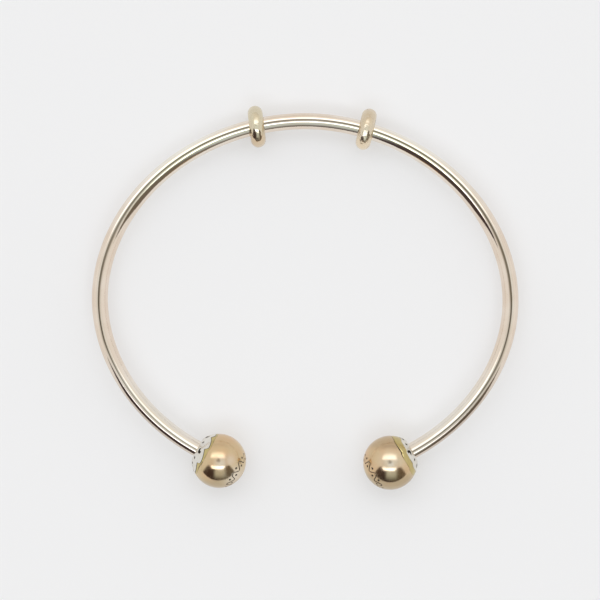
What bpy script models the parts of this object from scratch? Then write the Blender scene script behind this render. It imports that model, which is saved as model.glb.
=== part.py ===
# Cuff bangle: an open oval of round wire with a two-tone ball on each end
# and two small stopper rings round the back of the oval.
# Metres, +Z up. It lies as it rests on a table: on its two balls and its two rings.
# The mouth between the balls faces -Y, the long way across is X.

import math

import bmesh
import bpy
from mathutils import Matrix, Vector

# The wire's centre line: an oval seen from above
OVAL_HALF_WIDTH = 0.0310
OVAL_HALF_DEPTH = 0.0270
OVAL_EXPONENT = 1.95  # 2 is a true ellipse, less makes the corners leaner
WIRE_DIAMETER = 0.00245
WIRE_ANGLE_STEP = math.radians(3.0)

# Each arm: where it meets its ball, and how far its tip is sprung in from the oval
ARMS = {
    "left": {"tip_x": -0.0160, "spring_in": 0.00025},
    "right": {"tip_x": 0.01665, "spring_in": 0.00013},
}

# The balls: gold, with a silver collar where the wire goes in, both on one sphere
BEAD_DIAMETER = 0.0082
COLLAR_HEIGHT = 0.00135
COLLAR_MOUTH_CHAMFER = 0.00015
POST_BELOW_SEAM = 0.0024  # how deep the wire's end sits in the gold ball

# The stopper rings: half-round outside, straight flanks down to the bore
RING_WALL = 0.0015  # from the bore to the outside
RING_WIDTH = 0.0023
RING_BORE_CHAMFER = 0.0002
RINGS = {
    "left": {"x": -0.0078, "lean_degrees": -5.6, "shift_out": 0.0},
    "right": {"x": 0.0087, "lean_degrees": 3.1, "shift_out": 0.00015},
}

# Gaps between pieces
CLEARANCE = 0.0003
RING_BORE_CLEARANCE = 0.00045

# Fineness of the turned pieces and of the wire
TURN_STEPS = 36
BEAD_ARC_STEPS = 14
COLLAR_ARC_STEPS = 5
RING_ARC_STEPS = 9
WIRE_BEVEL_RESOLUTION = 4
MERGE_DISTANCE = 0.00001

WIRE_RADIUS = WIRE_DIAMETER / 2
BEAD_RADIUS = BEAD_DIAMETER / 2
BEAD_BORE_RADIUS = WIRE_RADIUS + CLEARANCE
RING_BORE_RADIUS = WIRE_RADIUS + RING_BORE_CLEARANCE
RING_RADIUS = RING_BORE_RADIUS + RING_WALL

# Heights along a ball's bore, from the ball's centre toward the wire
ARM_TIP_HEIGHT = math.sqrt(BEAD_RADIUS ** 2 - BEAD_BORE_RADIUS ** 2)
COLLAR_MOUTH_RADIUS = BEAD_BORE_RADIUS + COLLAR_MOUTH_CHAMFER
COLLAR_MOUTH_HEIGHT = math.sqrt(BEAD_RADIUS ** 2 - COLLAR_MOUTH_RADIUS ** 2)
COLLAR_SEAM_HEIGHT = COLLAR_MOUTH_HEIGHT - COLLAR_HEIGHT
BEAD_SEAM_HEIGHT = COLLAR_SEAM_HEIGHT - CLEARANCE
POST_END_HEIGHT = BEAD_SEAM_HEIGHT - POST_BELOW_SEAM


def clear_scene():
    for old in list(bpy.data.objects):
        bpy.data.objects.remove(old, do_unlink=True)


def new_collection(name):
    collection = bpy.data.collections.new(name)
    bpy.context.scene.collection.children.link(collection)
    return collection


def metal(name, colour, roughness):
    material = bpy.data.materials.new(name)
    material.use_nodes = True
    shader = material.node_tree.nodes["Principled BSDF"]
    shader.inputs["Base Color"].default_value = (*colour, 1.0)
    shader.inputs["Metallic"].default_value = 1.0
    shader.inputs["Roughness"].default_value = roughness
    material.diffuse_color = (*colour, 1.0)
    return material


# The centre line. An angle of 0 is at +X, 90 degrees at the back, 270 at the mouth.
def oval_point(angle):
    """Point of the oval, with the arms sprung in more and more towards the mouth."""
    power = 2 / OVAL_EXPONENT
    cosine, sine = math.cos(angle), math.sin(angle)
    point = Vector((
        math.copysign(abs(cosine) ** power, cosine) * OVAL_HALF_WIDTH,
        math.copysign(abs(sine) ** power, sine) * OVAL_HALF_DEPTH,
        0.0,
    ))
    arm = ARMS["left"] if cosine < 0 else ARMS["right"]
    return point - point.normalized() * arm["spring_in"] * max(0.0, -sine) ** 2


def oval_tangent(angle):
    """Direction of the oval as the angle grows."""
    step = math.radians(0.1)
    return (oval_point(angle + step) - oval_point(angle - step)).normalized()


def angle_at(x, toward_mouth):
    """Angle where the oval stands at this X, at the back or toward the mouth."""
    share = math.copysign(min(1.0, abs(x) / OVAL_HALF_WIDTH) ** (OVAL_EXPONENT / 2), x)
    angle = math.acos(share)
    return -angle if toward_mouth else angle


def arm_tip(side):
    """Where an arm runs straight on into its ball, and the direction in which it does."""
    angle = angle_at(ARMS[side]["tip_x"], toward_mouth=True)
    outward = oval_tangent(angle)
    if side == "right":
        outward = -outward
    return oval_point(angle), outward


def bead_centre(side):
    """The arm runs straight from where it goes into the ball, so the centre lies on that line."""
    tip, outward = arm_tip(side)
    return tip + outward * ARM_TIP_HEIGHT


def wire_route():
    """Points from the end of the left arm, round the back, to the end of the right arm."""
    post_length = ARM_TIP_HEIGHT - POST_END_HEIGHT
    left_tip, left_outward = arm_tip("left")
    right_tip, right_outward = arm_tip("right")
    start = 2 * math.pi + angle_at(ARMS["left"]["tip_x"], toward_mouth=True)
    end = angle_at(ARMS["right"]["tip_x"], toward_mouth=True)
    count = round((start - end) / WIRE_ANGLE_STEP)
    arc = [oval_point(start + (end - start) * i / count) for i in range(count + 1)]
    return [
        left_tip + left_outward * post_length,
        *arc,
        right_tip + right_outward * post_length,
    ]


def build_wire(collection, material):
    route = wire_route()
    curve = bpy.data.curves.new("bangle_wire", "CURVE")
    curve.dimensions = "3D"
    curve.bevel_depth = WIRE_RADIUS
    curve.bevel_resolution = WIRE_BEVEL_RESOLUTION
    curve.use_fill_caps = True
    spline = curve.splines.new("POLY")
    spline.points.add(len(route) - 1)
    for point, place in zip(spline.points, route):
        point.co = (*place, 1.0)
    spline.use_smooth = True
    curve.materials.append(material)
    wire = bpy.data.objects.new("bangle_wire", curve)
    collection.objects.link(wire)
    return wire


# Turned pieces. A profile is a list of (radius, height), its outer side from top to bottom.
def arc(centre_r, centre_h, radius, from_degrees, to_degrees, steps):
    """Points on an arc of the profile. 0 degrees points outward, 90 up."""
    points = []
    for i in range(steps + 1):
        angle = math.radians(from_degrees + (to_degrees - from_degrees) * i / steps)
        points.append((
            centre_r + radius * math.cos(angle),
            centre_h + radius * math.sin(angle),
        ))
    return points


def bead_profile():
    """Gold ball: a sphere cut flat at the seam, with a blind socket for the wire's end."""
    socket_bottom = POST_END_HEIGHT - CLEARANCE
    seam_degrees = math.degrees(math.asin(BEAD_SEAM_HEIGHT / BEAD_RADIUS))
    sphere = arc(0, 0, BEAD_RADIUS, seam_degrees, -90, BEAD_ARC_STEPS)
    sphere[-1] = (0.0, -BEAD_RADIUS)
    return [
        (0.0, socket_bottom),
        (BEAD_BORE_RADIUS, socket_bottom),
        (BEAD_BORE_RADIUS, BEAD_SEAM_HEIGHT),
        *sphere,
    ]


def collar_profile():
    """Silver collar: the rest of the same sphere above the seam, bored through for the wire."""
    mouth_degrees = math.degrees(math.asin(COLLAR_MOUTH_HEIGHT / BEAD_RADIUS))
    seam_degrees = math.degrees(math.asin(COLLAR_SEAM_HEIGHT / BEAD_RADIUS))
    return [
        *arc(0, 0, BEAD_RADIUS, mouth_degrees, seam_degrees, COLLAR_ARC_STEPS),
        (BEAD_BORE_RADIUS, COLLAR_SEAM_HEIGHT),
        (BEAD_BORE_RADIUS, COLLAR_MOUTH_HEIGHT - COLLAR_MOUTH_CHAMFER),
    ]


def ring_profile():
    """Stopper ring: a half-round back on straight flanks, with a chamfered bore."""
    edge_radius = RING_WIDTH / 2
    half_round = arc(RING_RADIUS - edge_radius, 0, edge_radius, 90, -90, RING_ARC_STEPS)
    chamfer_radius = RING_BORE_RADIUS + RING_BORE_CHAMFER
    return [
        (chamfer_radius, edge_radius),
        *half_round,
        (chamfer_radius, -edge_radius),
        (RING_BORE_RADIUS, RING_BORE_CHAMFER - edge_radius),
        (RING_BORE_RADIUS, edge_radius - RING_BORE_CHAMFER),
    ]


def turned_piece(name, profile, closed, collection, material):
    """A profile turned about Z by a Screw modifier. A closed profile makes a ring."""
    outline = bmesh.new()
    points = [outline.verts.new((radius, 0.0, height)) for radius, height in profile]
    for first, second in zip(points, points[1:]):
        outline.edges.new((first, second))
    if closed:
        outline.edges.new((points[-1], points[0]))
    mesh = bpy.data.meshes.new(name)
    outline.to_mesh(mesh)
    outline.free()
    mesh.materials.append(material)
    piece = bpy.data.objects.new(name, mesh)
    collection.objects.link(piece)
    screw = piece.modifiers.new("turn", "SCREW")
    screw.axis = "Z"
    screw.angle = 2 * math.pi
    screw.steps = TURN_STEPS
    screw.render_steps = TURN_STEPS
    screw.use_merge_vertices = True
    screw.merge_threshold = MERGE_DISTANCE
    screw.use_smooth_shade = True
    return piece


def stand_along(piece, place, direction, bangle_plane):
    """Put a turned piece at a place in the bangle's own plane, its Z along a direction."""
    piece.parent = bangle_plane
    side = Vector((0.0, 0.0, 1.0)).cross(direction)
    turn = Matrix((side, direction.cross(side), direction)).transposed()
    piece.matrix_local = Matrix.Translation(place) @ turn.to_4x4()


def build_end_bead(side, collection, gold, silver, bangle_plane):
    _, outward = arm_tip(side)
    bead = turned_piece(f"end_bead_{side}", bead_profile(), False, collection, gold)
    collar = turned_piece(f"bead_collar_{side}", collar_profile(), True, collection, silver)
    for piece in (bead, collar):
        stand_along(piece, bead_centre(side), -outward, bangle_plane)


def ring_stand(side):
    """A stopper ring's centre and the direction of its bore."""
    ring = RINGS[side]
    angle = angle_at(ring["x"], toward_mouth=False)
    tangent = oval_tangent(angle)
    outward = Vector((tangent.y, -tangent.x, 0.0))
    lean = Matrix.Rotation(math.radians(ring["lean_degrees"]), 3, "Z")
    return oval_point(angle) + outward * ring["shift_out"], lean @ tangent


def build_stopper_ring(side, collection, material, bangle_plane):
    ring = turned_piece(f"stopper_ring_{side}", ring_profile(), True, collection, material)
    centre, direction = ring_stand(side)
    stand_along(ring, centre, direction, bangle_plane)


def ring_reach(side):
    """How far back a stopper ring reaches: a torus seen along its slanting bore."""
    centre, direction = ring_stand(side)
    edge_radius = RING_WIDTH / 2
    flat = math.sqrt(1 - direction.y ** 2)
    return centre.y + (RING_RADIUS - edge_radius) * flat + edge_radius


def rest_bangle_plane(bangle_plane):
    """Tip the bangle until balls and rings share the table, with the origin below its middle."""
    bead_y = sum(bead_centre(side).y for side in ARMS) / len(ARMS)
    ring_y = sum(ring_stand(side)[0].y for side in RINGS) / len(RINGS)
    tilt = math.asin((BEAD_RADIUS - RING_RADIUS) / (ring_y - bead_y))
    height = BEAD_RADIUS + bead_y * math.sin(tilt)
    front = min(bead_centre(side).y for side in ARMS) * math.cos(tilt) - BEAD_RADIUS
    back = max(ring_reach(side) for side in RINGS) * math.cos(tilt)
    back_wire = (OVAL_HALF_DEPTH + WIRE_RADIUS) * math.cos(tilt)
    middle = (front + max(back, back_wire)) / 2
    bangle_plane.rotation_euler = (-tilt, 0.0, 0.0)
    bangle_plane.location = (0.0, -middle, height)


def main():
    clear_scene()
    collection = new_collection("cuff_bangle")
    rose_silver = metal("polished_rose_silver", (0.86, 0.78, 0.70), 0.10)
    gold = metal("polished_gold", (0.72, 0.53, 0.33), 0.08)
    pale_gold = metal("pale_gold", (0.80, 0.70, 0.55), 0.12)
    silver = metal("oxidised_silver", (0.82, 0.80, 0.76), 0.18)

    bangle_plane = bpy.data.objects.new("bangle_plane", None)
    collection.objects.link(bangle_plane)
    rest_bangle_plane(bangle_plane)

    wire = build_wire(collection, rose_silver)
    wire.parent = bangle_plane
    for side in ARMS:
        build_end_bead(side, collection, gold, silver, bangle_plane)
    for side in RINGS:
        build_stopper_ring(side, collection, pale_gold, bangle_plane)


main()
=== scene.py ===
import math

import bpy
import numpy as np
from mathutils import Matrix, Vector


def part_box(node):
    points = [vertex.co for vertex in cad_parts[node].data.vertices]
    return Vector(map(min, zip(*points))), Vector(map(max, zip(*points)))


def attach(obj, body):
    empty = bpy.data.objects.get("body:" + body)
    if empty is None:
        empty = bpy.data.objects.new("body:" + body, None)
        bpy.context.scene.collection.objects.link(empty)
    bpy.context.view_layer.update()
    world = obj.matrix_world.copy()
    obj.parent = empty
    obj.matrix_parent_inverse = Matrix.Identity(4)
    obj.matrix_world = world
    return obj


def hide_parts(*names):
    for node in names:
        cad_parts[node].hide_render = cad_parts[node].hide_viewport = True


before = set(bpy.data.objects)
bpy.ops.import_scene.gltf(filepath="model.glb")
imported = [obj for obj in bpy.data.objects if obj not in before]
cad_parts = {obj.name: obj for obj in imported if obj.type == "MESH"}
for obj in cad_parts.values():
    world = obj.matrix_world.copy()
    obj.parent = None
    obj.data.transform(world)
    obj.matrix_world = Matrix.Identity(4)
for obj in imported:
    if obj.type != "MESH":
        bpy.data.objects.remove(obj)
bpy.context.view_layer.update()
print("frame loaded:", ", ".join(sorted(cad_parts)))

mm = 0.001
sides = ("left", "right")
skinInset = 0.013 * mm  # every skin lies this far inside the frame's facets, so the box stays the same


# The wire's oval, in its own plane

oval = dict(
    halfWidth=31.0 * mm,
    halfDepth=27.0 * mm,
    exponent=1.95,  # 2 is a true ellipse
    springIn=dict(left=0.25 * mm, right=0.13 * mm),  # how far the arms have bent in at the mouth
    tipX=dict(left=-16.0 * mm, right=16.65 * mm),  # where each arm goes into its ball
)
up = np.array([0.0, 0.0, 1.0])  # square to that plane


def ovalPoints(angle):
    # |x/a|^n + |y/b|^n = 1, less springIn * sin(angle)^2 toward the middle on the mouth's side
    angle = np.asarray(angle, dtype=float)
    power = 2 / oval["exponent"]
    cosine, sine = np.cos(angle), np.sin(angle)
    x = np.sign(cosine) * np.abs(cosine) ** power * oval["halfWidth"]
    y = np.sign(sine) * np.abs(sine) ** power * oval["halfDepth"]
    bend = np.where(cosine < 0, oval["springIn"]["left"], oval["springIn"]["right"])
    shrink = 1 - bend * np.maximum(0, -sine) ** 2 / np.hypot(x, y)
    return np.stack([x * shrink, y * shrink, 0 * x], -1)


def unit(vectors):
    return vectors / np.linalg.norm(vectors, axis=-1, keepdims=True)


def ovalTangents(angle):
    # From a point a tenth of a degree before to one a tenth after
    step = math.radians(0.1)
    return unit(ovalPoints(angle + step) - ovalPoints(angle - step))


def angleAt(x, towardMouth):
    # Where the oval has that x, on the mouth's half or on the back's: cos(angle) = (x/a)^(n/2)
    share = math.copysign((abs(x) / oval["halfWidth"]) ** (oval["exponent"] / 2), x)
    return -math.acos(share) if towardMouth else math.acos(share)


def armTip(side):
    # Where an arm runs straight on into its ball, and the way it points there
    angle = angleAt(oval["tipX"][side], True)
    along = ovalTangents(angle)
    return ovalPoints(angle), (along if side == "left" else -along)


# How it rests: tipped about X until balls and rings share the table

bead = dict(
    radius=4.1 * mm,
    boreRadius=1.525 * mm,
    socketRadius=1.3 * mm,  # the skin fits the wire closer than the frame does
    seamDegrees=59.3,  # polar angle of the seam, from the wire's side
    postEnd=-0.31 * mm,  # height of the wire's end, from the ball's centre toward the wire
)
ring = dict(
    radius=3.175 * mm,
    width=2.3 * mm,
    x=dict(left=-7.8 * mm, right=8.7 * mm),
    leanDegrees=dict(left=-5.6, right=3.1),  # how far from square to the wire
    shiftOut=dict(left=0.0, right=0.15 * mm),  # how far off the wire's middle
)
# An arm's tip is where its ball's bore starts
tipToCentre = math.sqrt(bead["radius"] ** 2 - bead["boreRadius"] ** 2)


def beadStand(side):
    # The ball's centre, and the way from it back along the wire
    tip, along = armTip(side)
    return tip + along * tipToCentre, -along


def ringStand(side):
    # The stopper ring's centre and the direction of its bore, which is the wire's own turned by the lean
    angle = angleAt(ring["x"][side], False)
    along = ovalTangents(angle)
    outward = np.cross(along, up)
    lean = math.radians(ring["leanDegrees"][side])
    bore = along * math.cos(lean) - outward * math.sin(lean)
    return ovalPoints(angle) + outward * ring["shiftOut"][side], bore


def restOnTable():
    # sin(tilt) = difference of the radii / distance from balls to rings. Middle is halfway front to back.
    beadY = np.mean([beadStand(side)[0][1] for side in sides])
    ringY = np.mean([ringStand(side)[0][1] for side in sides])
    tilt = math.asin((bead["radius"] - ring["radius"]) / (ringY - beadY))
    height = bead["radius"] + beadY * math.sin(tilt)
    front = min(beadStand(side)[0][1] for side in sides) * math.cos(tilt) - bead["radius"]
    reach = []
    for side in sides:
        centre, bore = ringStand(side)
        flat = math.sqrt(1 - bore[1] ** 2)
        reach.append(centre[1] + (ring["radius"] - ring["width"] / 2) * flat + ring["width"] / 2)
    middle = (front + max(reach) * math.cos(tilt)) / 2
    return tilt, height, middle


tableTilt, planeHeight, planeMiddle = restOnTable()


def toTable(points):
    # Turns by -tilt about X, then lifts to the table and centres front to back
    y = points[..., 1] * math.cos(tableTilt) + points[..., 2] * math.sin(tableTilt)
    z = -points[..., 1] * math.sin(tableTilt) + points[..., 2] * math.cos(tableTilt)
    return np.stack([points[..., 0], y - planeMiddle, z + planeHeight], -1)


def smoothStep(value, start, end):
    share = np.clip((value - start) / (end - start), 0, 1)
    return share * share * (3 - 2 * share)


def fullTurn(count):
    # Angles evenly round a circle
    return np.linspace(0, 2 * math.pi, count, endpoint=False)


# Meshes from grids

def gridMesh(name, rows, material, marks, closeRows=False, startPole=None, endPole=None):
    # Rows of points, each row a closed circle. The last row joins the first, or the rows end in poles.
    # A mark is a value for each point that the material reads.
    rowCount, columnCount = rows.shape[:2]
    index = np.arange(rowCount * columnCount).reshape(rowCount, columnCount)
    across = np.roll(index, -1, axis=1)
    if closeRows:
        nextIndex, nextAcross = np.roll(index, -1, axis=0), np.roll(across, -1, axis=0)
    else:
        nextIndex, nextAcross = index[1:], across[1:]
        index, across = index[:-1], across[:-1]
    quads = np.stack([index, across, nextAcross, nextIndex], -1).reshape(-1, 4)
    points = rows.reshape(-1, 3)
    triangles = []
    for pole, row, flip in ((startPole, 0, False), (endPole, rowCount - 1, True)):
        if pole is None:
            continue
        first = row * columnCount + np.arange(columnCount)
        second = np.roll(first, -1)
        tip = np.full(columnCount, len(points))
        points = np.vstack([points, pole])
        triangles.append(np.stack([second, tip, first] if flip else [first, tip, second], -1))
    loops = np.concatenate([quads.ravel()] + [t.ravel() for t in triangles])
    sizes = np.concatenate([np.full(len(quads), 4)] + [np.full(len(t), 3) for t in triangles])
    starts = np.concatenate([[0], np.cumsum(sizes)[:-1]])
    mesh = bpy.data.meshes.new(name)
    mesh.vertices.add(len(points))
    mesh.vertices.foreach_set("co", points.astype(np.float32).ravel())
    mesh.loops.add(len(loops))
    mesh.loops.foreach_set("vertex_index", loops.astype(np.int32))
    mesh.polygons.add(len(sizes))
    mesh.polygons.foreach_set("loop_start", starts.astype(np.int32))
    mesh.update(calc_edges=True)
    mesh.validate()
    for label, values in marks.items():
        layer = mesh.attributes.new(label, "FLOAT", "POINT")
        padded = np.concatenate([values.ravel(), np.zeros(len(points) - values.size)])
        layer.data.foreach_set("value", padded.astype(np.float32))
    mesh.shade_smooth()
    mesh.materials.append(material)
    piece = bpy.data.objects.new(name, mesh)
    bpy.context.scene.collection.objects.link(piece)
    return piece


def finishPiece(piece, node):
    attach(piece, "root")
    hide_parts(node)
    low, high = (np.array(corner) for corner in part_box(node))
    points = np.empty(len(piece.data.vertices) * 3, np.float32)
    piece.data.vertices.foreach_get("co", points)
    points = points.reshape(-1, 3)
    apart = max(np.abs(points.min(0) - low).max(), np.abs(points.max(0) - high).max())
    print(f"{piece.name}: {len(piece.data.polygons)} faces, {apart / mm:.2f} mm off its node's box")


# Materials

class Nodes:
    # A short way to write node trees: each call adds a node and gives its output socket
    def __init__(self, tree):
        self.tree = tree

    def add(self, kind, output=0, settings=None, **inputs):
        # An input goes by its name, or by its number as in0, in1 and so on
        node = self.tree.nodes.new(kind)
        for name, value in (settings or {}).items():
            setattr(node, name, value)
        for name, value in inputs.items():
            socket = node.inputs[int(name[2:])] if name.startswith("in") else node.inputs[name]
            if isinstance(value, bpy.types.NodeSocket):
                self.tree.links.new(value, socket)
            else:
                socket.default_value = (*value, 1.0) if socket.type == "RGBA" else value
        return node.outputs[output]

    def math(self, operation, first, second=0.0):
        return self.add("ShaderNodeMath", settings=dict(operation=operation), in0=first, in1=second)

    def times(self, first, second):
        return self.math("MULTIPLY", first, second)

    def ramp(self, value, start, end, low=0.0, high=1.0):
        # Smooth step from low at start to high at end
        return self.add(
            "ShaderNodeMapRange", settings=dict(interpolation_type="SMOOTHSTEP"),
            in0=value, in1=start, in2=end, in3=low, in4=high,
        )

    def band(self, value, low, high, soft):
        # 1 between low and high, with both edges soft
        rise = self.ramp(value, low - soft, low + soft)
        fall = self.ramp(value, high - soft, high + soft, 1.0, 0.0)
        return self.times(rise, fall)

    def mark(self, name):
        # The points' own value of that name
        return self.add("ShaderNodeAttribute", output="Fac", settings=dict(attribute_name=name))

    def noise(self, place, look):
        return self.add("ShaderNodeTexNoise", Vector=place, **look)

    def mix(self, share, first, second):
        # The node's two colours are its inputs 6 and 7, and the mixed one is its output 2
        settings = dict(data_type="RGBA")
        return self.add("ShaderNodeMix", output=2, settings=settings, in0=share, in6=first, in7=second)


metals = dict(  # colour, the tone of its paler patches, and how rough, wavy and dented the base ones are
    roseSilver=dict(colour=(0.80, 0.675, 0.555), pale=(0.84, 0.73, 0.62), roughness=0.05, wave=0.3),
    bareSilver=dict(colour=(0.915, 0.88, 0.79), pale=(0.94, 0.915, 0.85)),
    tarnish=dict(colour=(0.63, 0.535, 0.45), pale=(0.66, 0.57, 0.48)),
    # Painted highlight tint: a yellowish tone along the crown where highlights fall, standing in for their
    # cream colour
    yellowed=dict(colour=(0.86, 0.795, 0.53), pale=(0.88, 0.82, 0.56)),
    # Painted reflection: a dark line along the wire's crown, standing in for the mirrored camera
    paintedCrownReflection=dict(colour=(0.135, 0.088, 0.04), pale=(0.15, 0.102, 0.052)),
    gold=dict(colour=(0.69, 0.485, 0.29), pale=(0.67, 0.53, 0.32), roughness=0.16, wave=0.4),
    # Painted sheen: a paler gold round the balls' highlights
    rubbedGold=dict(colour=(0.785, 0.70, 0.585), pale=(0.785, 0.715, 0.605)),
    # Painted shade: a darker gold on the balls' fronts and on the right ball's back
    agedGold=dict(colour=(0.52, 0.385, 0.235), pale=(0.53, 0.42, 0.27)),
    gilt=dict(colour=(0.55, 0.44, 0.19), pale=(0.59, 0.49, 0.235), roughness=0.16, wave=0.3),
    paleGold=dict(
        colour=(0.715, 0.635, 0.465), pale=(0.76, 0.685, 0.53), roughness=0.12, wave=0.7, dents=0.5,
    ),
    wornGold=dict(
        colour=(0.72, 0.605, 0.44), pale=(0.76, 0.66, 0.51), roughness=0.20, wave=1.0, dents=0.8,
    ),
    # Painted front tones for the stopper rings: darker and warmer on the left one as painted shade, paler
    # on the right one as painted light
    warmGold=dict(colour=(0.70, 0.54, 0.36), pale=(0.74, 0.60, 0.43)),
    creamGold=dict(colour=(0.86, 0.71, 0.51), pale=(0.88, 0.75, 0.56)),
    silver=dict(colour=(0.76, 0.725, 0.65), pale=(0.81, 0.785, 0.73)),
)
oxide = dict(colour=(0.045, 0.038, 0.03), setsIn=(0.35, 0.8), roughness=0.4)
surface = dict(  # each noise: repeats in a metre, how many finer layers, and how strong those are
    patches=dict(Scale=260.0, Detail=3.0, Roughness=0.55), paleFrom=(0.35, 0.68),
    polish=dict(Scale=900.0, Detail=4.0, Roughness=0.6), polishFrom=(0.3, 0.75), polishSpread=(0.7, 1.5),
    waves=dict(Scale=170.0, Detail=1.0, Roughness=0.4), waveHeight=0.06 * mm,
    dents=dict(Scale=1100.0, Detail=1.0, Roughness=0.5), dentHeight=0.2 * mm, faintDents=0.04,
    hairlines=dict(Scale=1500.0, Detail=2.0, Roughness=0.7), hairlineHeight=0.004 * mm,
    hairlineStrength=0.12, hairlineTurn=(0.3, 0.5, 0.7), hairlineStretch=(1.0, 9.0, 2.5),
)


def metalMaterial(name, finish, layers, oxidised=False):
    # Polished metal: patches of a paler tone, uneven polish and hairline scratches. Each layer is one more
    # tone, shown where the points' mark of that name is 1. Where "oxide" is 1 the metal is dark and dull.
    material = bpy.data.materials.new(name)
    material.use_nodes = True
    tree = material.node_tree
    shader = tree.nodes["Principled BSDF"]
    nodes = Nodes(tree)
    place = nodes.add("ShaderNodeTexCoord", output="Object")
    patches = nodes.ramp(nodes.noise(place, surface["patches"]), *surface["paleFrom"])
    colour = nodes.mix(patches, finish["colour"], finish["pale"])
    for markName, layer in layers.items():
        layerColour = nodes.mix(patches, layer["colour"], layer["pale"])
        colour = nodes.mix(nodes.mark(markName), colour, layerColour)
    polish = nodes.noise(place, surface["polish"])
    polish = nodes.ramp(polish, *surface["polishFrom"], *surface["polishSpread"])
    roughness = nodes.times(polish, finish["roughness"])
    waves = nodes.add(
        "ShaderNodeBump", Height=nodes.noise(place, surface["waves"]),
        Strength=finish["wave"], Distance=surface["waveHeight"],
    )
    dents = nodes.add(
        "ShaderNodeBump", Height=nodes.noise(place, surface["dents"]), Normal=waves,
        Strength=finish.get("dents", surface["faintDents"]), Distance=surface["dentHeight"],
    )
    stretched = nodes.add(
        "ShaderNodeMapping", Vector=place,
        Rotation=surface["hairlineTurn"], Scale=surface["hairlineStretch"],
    )
    hairlines = nodes.add(
        "ShaderNodeBump", Height=nodes.noise(stretched, surface["hairlines"]), Normal=dents,
        Strength=surface["hairlineStrength"], Distance=surface["hairlineHeight"],
    )
    if oxidised:
        dark = nodes.ramp(nodes.mark("oxide"), *oxide["setsIn"])
        colour = nodes.mix(dark, colour, oxide["colour"])
        roughness = nodes.math("ADD", roughness, nodes.times(dark, oxide["roughness"]))
    tree.links.new(colour, shader.inputs["Base Color"])
    tree.links.new(roughness, shader.inputs["Roughness"])
    tree.links.new(hairlines, shader.inputs["Normal"])
    shader.inputs["Metallic"].default_value = 1.0
    return material


wireLayers = dict(
    bare=metals["bareSilver"],
    yellowed=metals["yellowed"],
    tarnished=metals["tarnish"],
    paintedCrownReflection=metals["paintedCrownReflection"],
)
wireMetal = metalMaterial("wornRoseSilver", metals["roseSilver"], wireLayers)
# Painted shade darkens the balls' fronts, and painted sheen makes them paler round their highlights
ballLayers = dict(aged=metals["agedGold"], rubbed=metals["rubbedGold"])
ballMetal = metalMaterial("polishedGold", metals["gold"], ballLayers, oxidised=True)
# Each ring's front carries a painted tone: painted shade on the left ring, painted light on the right one
ringMetals = dict(
    left=metalMaterial("polishedPaleGold", metals["paleGold"], dict(front=metals["warmGold"])),
    right=metalMaterial("wornPaleGold", metals["wornGold"], dict(front=metals["creamGold"])),
)
collarMetal = metalMaterial("twoToneCollar", metals["gilt"], dict(cap=metals["silver"]), oxidised=True)
print("materials made")


# The wire

wire = dict(
    radius=1.225 * mm,
    lean=0.16,  # how far the section leans outward, in shares of its radius, as all places across it are
    rowsAlong=480, pointsAround=120, postRows=12,
    paintedReflectionHalfWidth=0.125,
    paintedReflectionPlaces=(  # painted reflection, a dark line along the crown standing in for the mirrored camera: degrees round the oval, place across, darkness
        (-50, -0.04, 0.5), (-20, -0.21, 0.75), (5, 0.01, 0.97), (20, 0.0, 0.95), (50, -0.12, 0.8),
        (70, -0.135, 0.7), (90, -0.03, 0.54), (120, -0.11, 0.72), (140, -0.10, 0.72), (160, -0.015, 0.87),
        (180, -0.065, 0.95), (195, -0.21, 0.85), (210, -0.05, 0.2), (225, 0.14, 0.18),
    ),
    wornPlaces=((-43, 17), (59, 19), (127, 19), (225, 17)),  # plating worn off: degrees round, half width
    wornFront=0.45,  # share of that on the side that faces the front
    wornBack=(-0.4, 0.4),  # across the section it grows to all of it toward the back
    yellowPlaces=(  # painted highlight tint along the crown: place across, share
        (-0.56, 0), (-0.44, 0.6), (0, 0.65), (0.12, 1), (0.24, 1), (0.36, 0),
    ),
    yellowLessOnArms=0.65,
    armsFrom=(0, 30),  # degrees past the oval's widest places where its arms set in
    tarnishFrom=(-0.12, -0.3),  # across the arms, where tarnish sets in outward
    tarnishLeast=0.35,  # its share on the rest of their top
)


def wornShare(degrees):
    # Sum of bells, exp(-((degrees - place) / halfWidth)^2)
    share = sum(np.exp(-((degrees - place) / halfWidth) ** 2) for place, halfWidth in wire["wornPlaces"])
    return np.minimum(share, 1)


def wireMarks(angles, turn, inward):
    # Where the wire is worn and tarnished, with a painted highlight tint and a painted reflection line
    # along its crown. All but the worn plating shows only from above.
    degrees = np.degrees(angles)
    sideways = np.sin(turn)
    onTop = np.cos(turn) > 0
    worn = wornShare(degrees)[:, None]
    arms = smoothStep(-np.sin(angles), *np.sin(np.radians(wire["armsFrom"])))[:, None]
    # The plating is worn most on the side that faces the back
    back = smoothStep(sideways * inward[:, 1:2], *wire["wornBack"])
    bare = worn * (wire["wornFront"] + (1 - wire["wornFront"]) * back)
    # There a painted highlight tint lies along the crown, less on the arms, which have tarnished as well
    crown = np.interp(sideways, *zip(*wire["yellowPlaces"]))
    yellowed = worn * (1 - wire["yellowLessOnArms"] * arms) * crown
    tarnished = worn * arms * np.maximum(smoothStep(sideways, *wire["tarnishFrom"]), wire["tarnishLeast"])
    # The painted reflection line's section is a bell, exp(-((s - place) / paintedReflectionHalfWidth)^2)
    places, across, darkness = zip(*wire["paintedReflectionPlaces"])
    linePlace = np.interp(degrees, places, across)[:, None]
    lineDark = np.interp(degrees, places, darkness)[:, None]
    line = lineDark * np.exp(-((sideways - linePlace) / wire["paintedReflectionHalfWidth"]) ** 2)
    return dict(bare=bare, yellowed=yellowed * onTop, tarnished=tarnished * onTop, paintedCrownReflection=line * onTop)


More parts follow.
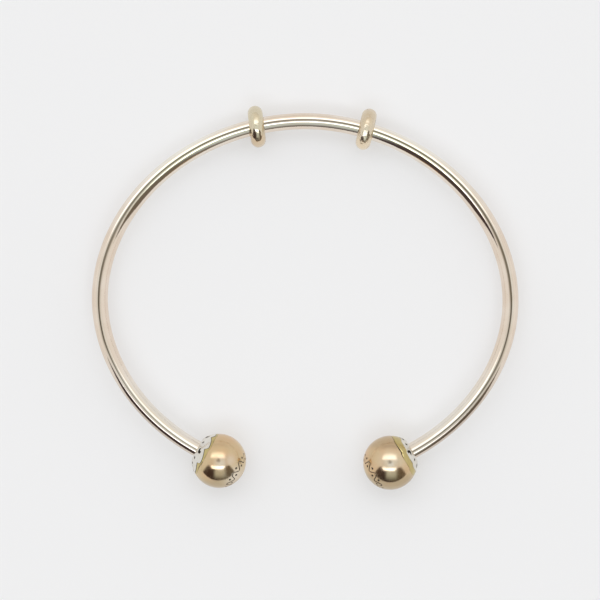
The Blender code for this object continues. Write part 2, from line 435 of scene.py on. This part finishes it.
def buildWire():
    # The section is a circle leant outward: s = sin(t), h = cos(t) - lean * s, with s to the inside.
    # It is carried along the oval and the straight posts inside the balls.
    radius = wire["radius"] - skinInset
    leftEnd = 2 * math.pi + angleAt(oval["tipX"]["left"], True)
    rightEnd = angleAt(oval["tipX"]["right"], True)
    angles = np.linspace(leftEnd, rightEnd, wire["rowsAlong"])
    post = np.linspace(1, 0, wire["postRows"], endpoint=False)[:, None] * (tipToCentre - bead["postEnd"])
    leftTip, leftAlong = armTip("left")
    rightTip, rightAlong = armTip("right")
    centres = np.vstack([
        leftTip + post * leftAlong, ovalPoints(angles), rightTip + post[::-1] * rightAlong,
    ])
    along = np.vstack([
        np.tile(-leftAlong, (len(post), 1)), -ovalTangents(angles), np.tile(rightAlong, (len(post), 1)),
    ])
    inward = np.cross(along, up)
    turn = fullTurn(wire["pointsAround"])
    sideways = np.sin(turn)
    height = np.cos(turn) - wire["lean"] * sideways
    rows = centres[:, None] + radius * (height[:, None] * up + sideways[:, None] * inward[:, None])
    marks = wireMarks(np.pad(angles, len(post), mode="edge"), turn, inward)
    piece = gridMesh(
        "bangleWire", toTable(rows), wireMetal, marks,
        startPole=toTable(centres[0]), endPole=toTable(centres[-1]),
    )
    finishPiece(piece, "bangle_wire")


buildWire()
print("wire made")


# Turned pieces: a profile of (radius, height) turned about an axis that lies in the bangle's plane

def placedRows(points, turn, centre, axis):
    # centre + radius * (cos(t) * up + sin(t) * across) + height * axis. Turn 0 faces the sky.
    across = np.cross(axis, up)
    outward = np.cos(turn)[..., None] * up + np.sin(turn)[..., None] * across
    radius, height = points[..., 0:1], points[..., 1:2]
    return toTable(centre + radius * outward + height * axis)


def arc(centreRadius, centreHeight, radius, startDegrees, endDegrees, count):
    # Part of a circle, centre + radius * (cos(a), sin(a)), as rows of one point each
    angle = np.radians(np.linspace(startDegrees, endDegrees, count))[:, None]
    return np.stack([centreRadius + radius * np.cos(angle), centreHeight + radius * np.sin(angle)], -1)


def between(start, end, count):
    # Evenly spaced rows between two others, start * (1 - share) + end * share, without the two themselves
    share = np.linspace(0, 1, count + 2)[1:-1, None, None]
    return np.asarray(start) * (1 - share) + np.asarray(end) * share


# The stopper rings

ringSkin = dict(
    boreRadius=dict(left=1.39 * mm, right=1.47 * mm),
    boreRound=0.22 * mm,
    columns=160, backRows=40, lipRows=8, flankRows=4, boreRows=7,
    frontTone=(0.1, 0.6),  # in shares of the radius toward the front, where the painted front tone sets in
)


def buildRing(side):
    # Turned profile: a half circle as wide as the ring, straight flanks, and a bore with quarter-round lips
    edge = ring["width"] / 2 - skinInset
    outerCentre = ring["radius"] - ring["width"] / 2
    lip = ringSkin["boreRound"]
    bore = ringSkin["boreRadius"][side]
    profile = np.concatenate([
        arc(outerCentre, 0, edge, 90, -90, ringSkin["backRows"]),
        between((outerCentre, -edge), (bore + lip, -edge), ringSkin["flankRows"]),
        arc(bore + lip, lip - edge, lip, 270, 180, ringSkin["lipRows"]),
        between((bore, lip - edge), (bore, edge - lip), ringSkin["boreRows"]),
        arc(bore + lip, edge - lip, lip, 180, 90, ringSkin["lipRows"]),
        between((bore + lip, edge), (outerCentre, edge), ringSkin["flankRows"]),
    ])
    centre, axis = ringStand(side)
    rows = placedRows(profile, fullTurn(ringSkin["columns"])[None], centre, axis)
    # Painted tone toward the ring's front, standing in for how light falls there
    front = smoothStep((toTable(centre) - rows)[..., 1] / ring["radius"], *ringSkin["frontTone"])
    piece = gridMesh(f"stopperRing_{side}", rows, ringMetals[side], dict(front=front), closeRows=True)
    finishPiece(piece, f"stopper_ring_{side}")


for side in sides:
    buildRing(side)
print("stopper rings made")


# The balls and their collars

collar = dict(
    mouthDegrees=24.1,  # polar angle where the bore opens
    mouthRound=0.10 * mm, mouthDrop=0.06 * mm,  # how far from there the edge rounds off, and how deep
    lipReach=dict(left=0.05 * mm, right=0.24 * mm),  # how far from the seam its edge starts to round off
    lipDrop=dict(left=0.03 * mm, right=0.085 * mm),
    lipLeast=0.3,  # share of that drop where the seam is closed
    # The silver cap, in degrees: polar angle of its teeth, their depth, where one starts, the edge's slant.
    # Groove is how dark the line along that edge is.
    cap=dict(
        left=dict(edge=56.5, tooth=8.0, start=9.0, slant=0.0, groove=0.85),
        right=dict(edge=46.0, tooth=2.5, start=-12.0, slant=3.5, groove=0.5),
    ),
    teeth=8,
    toothTop=0.8,  # how far along a tooth its top is
    capRaise=0.05 * mm,
    capSlope=0.03 * mm,  # half the width of the step at its edge
    grooveWidth=0.06 * mm,  # dark line along that step
    markCount=5,
    hookDegrees=37.5, hookRadius=0.21 * mm, hookStem=0.12 * mm, hookStroke=0.27 * mm, hookEdge=(0.6, 1.1),
    dotDegrees=33.0, dotRadius=0.2 * mm, dotEdge=(0.7, 1.3),
    markDepth=0.09 * mm,
    columns=480, rows=110, wallRows=6, mouthRows=4,
)
seam = dict(
    tooth=1.8,  # degrees that the seam steps back at each tooth
    gap=dict(left=0.02 * mm, right=0.15 * mm),  # where it is widest
    dark=dict(left=0.5, right=1.0),
    collarShade=0.06 * mm, ballShade=0.10 * mm,  # how far from the seam each side is dark
    closed=0.08,  # share of the gap where the seam counts as closed
    opens=(-160, -100), closes=(14, -6),  # degrees of turn from the top
    widest=-14, halfWidth=20, usual=0.4,  # a bell of that half width stands on the usual share
)


def wrapped(turn, centre, spacing):
    # Signed angle to the nearest of the marks that stand every spacing round the ball
    return (turn - centre + spacing / 2) % spacing - spacing / 2


def stamped(distance, size, edge):
    # 1 within a mark and 0 outside it. Its edge slopes between two shares of its size.
    return 1 - smoothStep(distance, size * edge[0], size * edge[1])


def collarMarks(polar, turn):
    # Hooks, each a half circle on a stem, with a punched dot between each two
    spacing = 2 * math.pi / collar["markCount"]
    radius = bead["radius"]
    across = wrapped(turn, 0.0, spacing) * radius * np.sin(polar)
    down = (polar - math.radians(collar["hookDegrees"])) * radius
    toBend = np.abs(np.hypot(across, down) - collar["hookRadius"])
    toStem = np.hypot(across + collar["hookRadius"], np.maximum(0, down - collar["hookStem"]))
    hook = stamped(np.where(down < 0, toBend, toStem), collar["hookStroke"], collar["hookEdge"])
    dotAcross = wrapped(turn, spacing / 2, spacing) * radius * np.sin(polar)
    dotDown = (polar - math.radians(collar["dotDegrees"])) * radius
    dot = stamped(np.hypot(dotAcross, dotDown), collar["dotRadius"], collar["dotEdge"])
    return np.maximum(hook, dot)


def teeth(turn, start):
    # A saw of rounded teeth: each climbs from 0 to 1 as a quarter sine, then falls back as a half cosine
    share = ((math.radians(start) - turn) * collar["teeth"] / (2 * math.pi)) % 1
    top = collar["toothTop"]
    climb = np.sin(share / top * math.pi / 2)
    fall = 0.5 + 0.5 * np.cos((share - top) / (1 - top) * math.pi)
    return np.where(share < top, climb, fall)


def seamPolar(turn, side):
    # Polar angle of the seam round the ball
    start = collar["cap"][side]["start"]
    return np.radians(bead["seamDegrees"] + seam["tooth"] * (teeth(turn, start) - 0.5))


def seamShare(turn):
    # How far the seam stands open: closed + (1 - closed) * (usual + (1 - usual) * bell), faded at both ends
    degrees = np.degrees(wrapped(turn, 0, 2 * math.pi))
    bell = np.exp(-((degrees - seam["widest"]) / seam["halfWidth"]) ** 2)
    stretch = smoothStep(degrees, *seam["opens"]) * smoothStep(degrees, *seam["closes"])
    return seam["closed"] + (1 - seam["closed"]) * (seam["usual"] + (1 - seam["usual"]) * bell) * stretch


def capShape(polar, turn, side):
    # 1 on the silver cap, 0 beyond its toothed edge, and the distance to that edge
    cap = collar["cap"][side]
    edge = cap["edge"] + cap["slant"] * np.sin(turn) - cap["tooth"] * (1 - teeth(turn, cap["start"]))
    toEdge = (np.radians(edge) - polar) * bead["radius"]
    return smoothStep(toEdge, -collar["capSlope"], collar["capSlope"]), toEdge


def normal(polar):
    # The sphere's normal (radius, height)
    return np.stack([np.sin(polar), np.cos(polar)], -1)


def zone(start, end, rows):
    # Polar angles and points (radius, height) of a zone of the sphere, row by row from start to end
    share = np.linspace(0, 1, rows)[:, None]
    polar = start * (1 - share) + end * share
    return polar, (bead["radius"] - skinInset) * normal(polar)


def lowered(polar, edge, reach):
    # 1 at an edge and 0 from reach inward, for the rounded lip there
    return 1 - smoothStep(np.abs(polar - edge) * bead["radius"], 0, reach)


def seamShade(polar, edge, turn, side, reach):
    # How dark a side of the seam is, from its edge inward
    return lowered(polar, edge, reach) * seam["dark"][side] * seamShare(turn)


def socketRim(row):
    # The circle on the socket's wall at the height of a row of points
    return np.concatenate([np.full_like(row[..., :1], bead["socketRadius"]), row[..., 1:]], -1)


def buildCollar(side):
    # A zone of the ball's sphere with a bore, (radius + rise) * (sin(p), cos(p)). The cap is raised and
    # the marks are sunk.
    centre, axis = beadStand(side)
    turn = fullTurn(collar["columns"])[None]
    edge = seamPolar(turn, side) - seam["gap"][side] * seamShare(turn) / bead["radius"]
    mouth = np.full_like(edge, math.radians(collar["mouthDegrees"]))
    polar, points = zone(mouth, edge, collar["rows"])
    cap, toEdge = capShape(polar, turn, side)
    punched = collarMarks(polar, turn) * cap
    drop = collar["lipDrop"][side] * (collar["lipLeast"] + (1 - collar["lipLeast"]) * seamShare(turn))
    lip = drop * lowered(polar, edge, collar["lipReach"][side])
    lip = lip + collar["mouthDrop"] * lowered(polar, mouth, collar["mouthRound"])
    rise = cap * collar["capRaise"] - punched * collar["markDepth"] - lip
    points = points + rise[..., None] * normal(polar)
    mouthRow, seamRow = points[:1], points[-1:]
    mouthRim, seamRim = socketRim(mouthRow), socketRim(seamRow)
    points = np.concatenate([
        points, between(seamRow, seamRim, collar["wallRows"]), seamRim,
        between(seamRim, mouthRim, collar["wallRows"]), mouthRim,
        between(mouthRim, mouthRow, collar["mouthRows"]),
    ])
    inside = np.ones((len(points) - len(polar), collar["columns"]))
    inside[-collar["mouthRows"]:] = 0
    groove = np.exp(-(toEdge / collar["grooveWidth"]) ** 2) * collar["cap"][side]["groove"]
    shade = seamShade(polar, edge, turn, side, seam["collarShade"])
    darkest = np.maximum.reduce([punched, groove, shade])
    marks = dict(oxide=np.concatenate([darkest, inside]), cap=np.concatenate([cap, 1 - inside]))
    rows = placedRows(points, turn, centre, axis)
    piece = gridMesh(f"beadCollar_{side}", rows, collarMetal, marks, closeRows=True)
    finishPiece(piece, f"bead_collar_{side}")


border = dict(
    polarDegrees=139, waves=9, height=1.0 * mm, stroke=0.08 * mm, strokeEdge=(0.5, 1.2), depth=0.06 * mm,
    dotRadius=0.11 * mm, dotPlace=0.75,  # in shares of the wave's swing, on the other side of its middle
    start=dict(left=0.12, right=-0.2),
)
ballSkin = dict(
    columns=440, rows=205, socketRows=6, lipRows=8,
    lastRowDegrees=179.6,  # before the pole
    lipReach=0.05 * mm, lipDrop=0.04 * mm,
    socketSpare=0.2 * mm,  # room beyond the wire's end
    floorCore=0.25,  # inner circle of the socket's floor, in shares of its radius
    agedFront=dict(left=(0.5, 0.85), right=(0.25, 0.6)),  # painted shade: sets in from here to there toward the front
    agedBack=dict(left=0.0, right=0.8),  # painted shade: share toward the back
    agedBackFrom=(0.42, 0.68),
    rubbed=dict(  # painted sheen, pale spots round the highlights: the way out to each (x, y, z), how far it reaches in degrees, share
        left=(
            ((0.10, -0.06, 0.99), 22, 0.65), ((0.42, 0.05, 0.90), 22, 0.5), ((0.60, -0.52, 0.61), 38, 0.8),
        ),
        right=(((0.0, 0.0, 1.0), 17, 1.0), ((0.02, 0.12, 0.99), 42, 0.5)),
    ),
)


def borderMarks(polar, turn, side):
    # A wavy line, y = a * cos(n * t), with a dot in each hollow
    phase = (turn - border["start"][side]) * border["waves"]
    down = (polar - math.radians(border["polarDegrees"])) * bead["radius"]
    swing = border["height"] / 2
    ringRadius = bead["radius"] * np.sin(polar)
    steepness = swing * border["waves"] * np.sin(phase) / ringRadius
    toLine = np.abs(down - swing * np.cos(phase)) / np.sqrt(1 + steepness ** 2)
    across = wrapped(phase, 0, math.pi) * ringRadius / border["waves"]
    dotDown = down + swing * border["dotPlace"] * np.sign(np.cos(phase))
    toDot = np.maximum(np.hypot(across, dotDown) - border["dotRadius"], 0)
    return stamped(np.minimum(toLine, toDot), border["stroke"], border["strokeEdge"])


def ballPaintedShadeAndSheen(away, side):
    # Painted shade darkens the front of each ball and the back of the right one, and painted sheen makes
    # both paler in spots round their highlights.
    # Away is the way out from the ball's centre, in shares of its radius.
    aged = smoothStep(-away[..., 1], *ballSkin["agedFront"][side])
    aged = aged + ballSkin["agedBack"][side] * smoothStep(away[..., 1], *ballSkin["agedBackFrom"])
    rubbed = 0
    for way, reach, most in ballSkin["rubbed"][side]:
        apart = np.degrees(np.arccos(np.clip(away @ unit(np.array(way)), -1, 1)))
        rubbed = np.maximum(rubbed, most * smoothStep(apart, reach, 0))
    return dict(aged=aged, rubbed=rubbed)


def buildBall(side):
    # The rest of the sphere, (radius + rise) * (sin(p), cos(p)), from the seam to the outer pole, with a
    # blind socket for the wire's post
    centre, axis = beadStand(side)
    turn = fullTurn(ballSkin["columns"])[None]
    edge = seamPolar(turn, side)
    lastRow = np.full_like(edge, math.radians(ballSkin["lastRowDegrees"]))
    polar, points = zone(edge, lastRow, ballSkin["rows"])
    engraved = borderMarks(polar, turn, side)
    rise = -engraved * border["depth"] - ballSkin["lipDrop"] * lowered(polar, edge, ballSkin["lipReach"])
    points = points + rise[..., None] * normal(polar)
    seamRow = points[:1]
    mouthRim = socketRim(seamRow)
    socketFloor = bead["postEnd"] - ballSkin["socketSpare"]
    floorRim = np.stack([mouthRim[..., 0], np.full_like(edge, socketFloor)], -1)
    inner = np.concatenate([
        floorRim * [ballSkin["floorCore"], 1.0],
        floorRim, between(floorRim, mouthRim, ballSkin["socketRows"]),
        mouthRim, between(mouthRim, seamRow, ballSkin["lipRows"]),
    ])
    rows = placedRows(np.concatenate([inner, points]), turn, centre, axis)
    shade = seamShade(polar, edge, turn, side, seam["ballShade"])
    darkest = np.concatenate([np.ones(inner.shape[:2]), np.maximum(engraved, shade)])
    away = (rows - toTable(centre)) / bead["radius"]
    piece = gridMesh(
        f"endBead_{side}", rows, ballMetal, dict(oxide=darkest, **ballPaintedShadeAndSheen(away, side)),
        startPole=toTable(centre + socketFloor * axis),
        endPole=toTable(centre + (skinInset - bead["radius"]) * axis),
    )
    finishPiece(piece, f"end_bead_{side}")


for side in sides:
    buildCollar(side)
    buildBall(side)
print("collars and balls made")


# The table

table = dict(size=1.6, colour=(0.53, 0.53, 0.533), glow=(0.378, 0.369, 0.363), roughness=0.9)


def buildTable():
    # A pale sheet that glows as if lit from below, so shadows stay pale
    half = table["size"] / 2
    corners = [(-half, -half, 0), (half, -half, 0), (half, half, 0), (-half, half, 0)]
    mesh = bpy.data.meshes.new("tableTop")
    mesh.from_pydata(corners, [], [(0, 1, 2, 3)])
    material = bpy.data.materials.new("tableSheet")
    material.use_nodes = True
    shader = material.node_tree.nodes["Principled BSDF"]
    shader.inputs["Base Color"].default_value = (*table["colour"], 1.0)
    shader.inputs["Roughness"].default_value = table["roughness"]
    shader.inputs["Specular IOR Level"].default_value = 0.0
    shader.inputs["Emission Color"].default_value = (*table["glow"], 1.0)
    shader.inputs["Emission Strength"].default_value = 1.0
    mesh.materials.append(material)
    top = bpy.data.objects.new("tableTop", mesh)
    bpy.context.scene.collection.objects.link(top)


buildTable()


# The light tent: what the polished metal mirrors

tent = dict(
    # Each part's colour, and where it fades in, from here to there: sides in |x|, heights in z, depths in v
    backWall=(0.73, 0.695, 0.67),
    sideWall=(0.90, 0.91, 0.91), sideWallSides=(0.3, 0.75),
    horizon=(0.84, 0.835, 0.83), horizonHeights=(0.35, 0.0),
    backGlow=(0.94, 0.90, 0.85), glowSides=(0.85, 0.4), glowTopDepths=(0.3, 0.7), glowFootDepths=(4.5, 0.8),
    ceiling=(0.88, 0.93, 0.94), ceilingHeights=(0.80, 0.95),
    lowest=0.02,  # least z for working out u and v
    # The open front, from one dark tone at the left to another at the right. Patch: x from, to, softness.
    darkLeft=(0.07, 0.052, 0.05), darkRight=(0.17, 0.145, 0.115), darkTurn=(-0.15, 0.35),
    openDepths=(-0.34, -0.44), openReach=(-1.4, 0.56), openEdge=(-0.05, 0.07),
    patch=(0.62, 0.70, 0.70), patchSpan=(-0.26, 0.42, 0.12), patchHeights=(0.0, 0.65),
    # The light strips round u = stripMiddle. The front one is given as v from, to, softness.
    stripMiddle=-0.11,
    backStrip=(1.9, 1.95, 2.05), backEnds=(0.78, 0.45),
    backNearDepths=(0.18, 0.40), backFarDepths=(1.05, 0.42),
    frontStrip=(2.65, 2.8, 3.05), frontSpan=(-0.66, -0.38, 0.04), frontEnds=(-0.06, 0.06),
    frontHalfLength=0.62, narrowFrom=-0.5, narrowBy=0.85,
    lens=(0.36, 0.36, 0.33), lensPlace=(-0.045, 0.08), lensEdge=(0.17, 0.11),
    background=(0.86, 0.86, 0.86),
)


def buildTent():
    # A direction (x, y, z) above the horizon is read as the spot u = x / z, v = y / z on a flat ceiling.
    world = bpy.data.worlds.new("lightTent")
    world.use_nodes = True
    tree = world.node_tree
    tree.nodes.clear()
    nodes = Nodes(tree)
    split = tree.nodes.new("ShaderNodeSeparateXYZ")
    tree.links.new(nodes.add("ShaderNodeTexCoord", output="Generated"), split.inputs[0])
    x, y, z = split.outputs
    height = nodes.math("MAXIMUM", z, tent["lowest"])
    u = nodes.math("DIVIDE", x, height)
    v = nodes.math("DIVIDE", y, height)
    sideways = nodes.math("ABSOLUTE", x)
    # Walls: greyer behind and brighter at the sides, of one tone where they meet the table
    colour = nodes.mix(nodes.ramp(sideways, *tent["sideWallSides"]), tent["backWall"], tent["sideWall"])
    colour = nodes.mix(nodes.ramp(z, *tent["horizonHeights"]), colour, tent["horizon"])
    # The back wall is lit from above, less and less toward the table
    glow = nodes.times(nodes.ramp(v, *tent["glowFootDepths"]), nodes.ramp(sideways, *tent["glowSides"]))
    glow = nodes.times(glow, nodes.ramp(v, *tent["glowTopDepths"]))
    colour = nodes.mix(glow, colour, tent["backGlow"])
    colour = nodes.mix(nodes.ramp(z, *tent["ceilingHeights"]), colour, tent["ceiling"])
    # The front is open where v is low and |x| < openReach[0] * y + openReach[1] * z
    reachY, reachZ = (nodes.times(axis, share) for axis, share in zip((y, z), tent["openReach"]))
    toSide = nodes.math("SUBTRACT", nodes.math("ADD", reachY, reachZ), sideways)
    opening = nodes.times(nodes.ramp(toSide, *tent["openEdge"]), nodes.ramp(v, *tent["openDepths"]))
    dark = nodes.mix(nodes.ramp(x, *tent["darkTurn"]), tent["darkLeft"], tent["darkRight"])
    # A paler patch lies in the middle of it
    patch = nodes.times(nodes.band(x, *tent["patchSpan"]), nodes.ramp(z, *tent["patchHeights"]))
    dark = nodes.mix(patch, dark, tent["patch"])
    colour = nodes.mix(opening, colour, dark)
    # The back strip glows softly, the front strip is crisp and narrows toward the front
    aside = nodes.math("ABSOLUTE", nodes.math("SUBTRACT", u, tent["stripMiddle"]))
    back = nodes.times(nodes.ramp(v, *tent["backNearDepths"]), nodes.ramp(v, *tent["backFarDepths"]))
    back = nodes.times(back, nodes.ramp(aside, *tent["backEnds"]))
    colour = nodes.mix(back, colour, tent["backStrip"])
    forward = nodes.math("MAXIMUM", nodes.math("SUBTRACT", tent["narrowFrom"], v), 0.0)
    narrowed = nodes.times(forward, tent["narrowBy"])
    toEnd = nodes.math("SUBTRACT", nodes.math("SUBTRACT", tent["frontHalfLength"], narrowed), aside)
    front = nodes.times(nodes.ramp(toEnd, *tent["frontEnds"]), nodes.band(v, *tent["frontSpan"]))
    colour = nodes.mix(front, colour, tent["frontStrip"])
    # The lens looks down through the ceiling
    lensU, lensV = (nodes.math("SUBTRACT", spot, place) for spot, place in zip((u, v), tent["lensPlace"]))
    fromLens = nodes.math("ADD", nodes.times(lensU, lensU), nodes.times(lensV, lensV))
    lens = nodes.ramp(nodes.math("SQRT", fromLens), *tent["lensEdge"])
    colour = nodes.mix(lens, colour, tent["lens"])
    # The camera itself sees a plain backdrop
    isCamera = nodes.add("ShaderNodeLightPath", output="Is Camera Ray")
    colour = nodes.mix(isCamera, colour, tent["background"])
    background = tree.nodes.new("ShaderNodeBackground")
    tree.links.new(colour, background.inputs["Color"])
    output = tree.nodes.new("ShaderNodeOutputWorld")
    tree.links.new(background.outputs[0], output.inputs[0])
    bpy.context.scene.world = world


buildTent()

bpy.context.scene.view_settings.view_transform = "Standard"
print("table and light tent made")


# The camera looks straight down

camera = dict(
    distance=0.6,
    rollDegrees=1.064,
    frameWidth=90.6 * mm,  # what 600 pixels span at the wire's height
    wireHeight=3.64 * mm,
    centre=(-0.780 * mm, -0.325 * mm),  # the spot below it
)


def buildCamera():
    data = bpy.data.cameras.new("viewCamera")
    data.sensor_width = 36.0
    data.lens = data.sensor_width * camera["distance"] / camera["frameWidth"]
    data.clip_start = 0.01
    data.clip_end = 10.0
    view = bpy.data.objects.new("viewCamera", data)
    view.location = (*camera["centre"], camera["distance"] + camera["wireHeight"])
    view.rotation_euler = (0, 0, math.radians(camera["rollDegrees"]))
    bpy.context.scene.collection.objects.link(view)
    bpy.context.scene.camera = view


buildCamera()
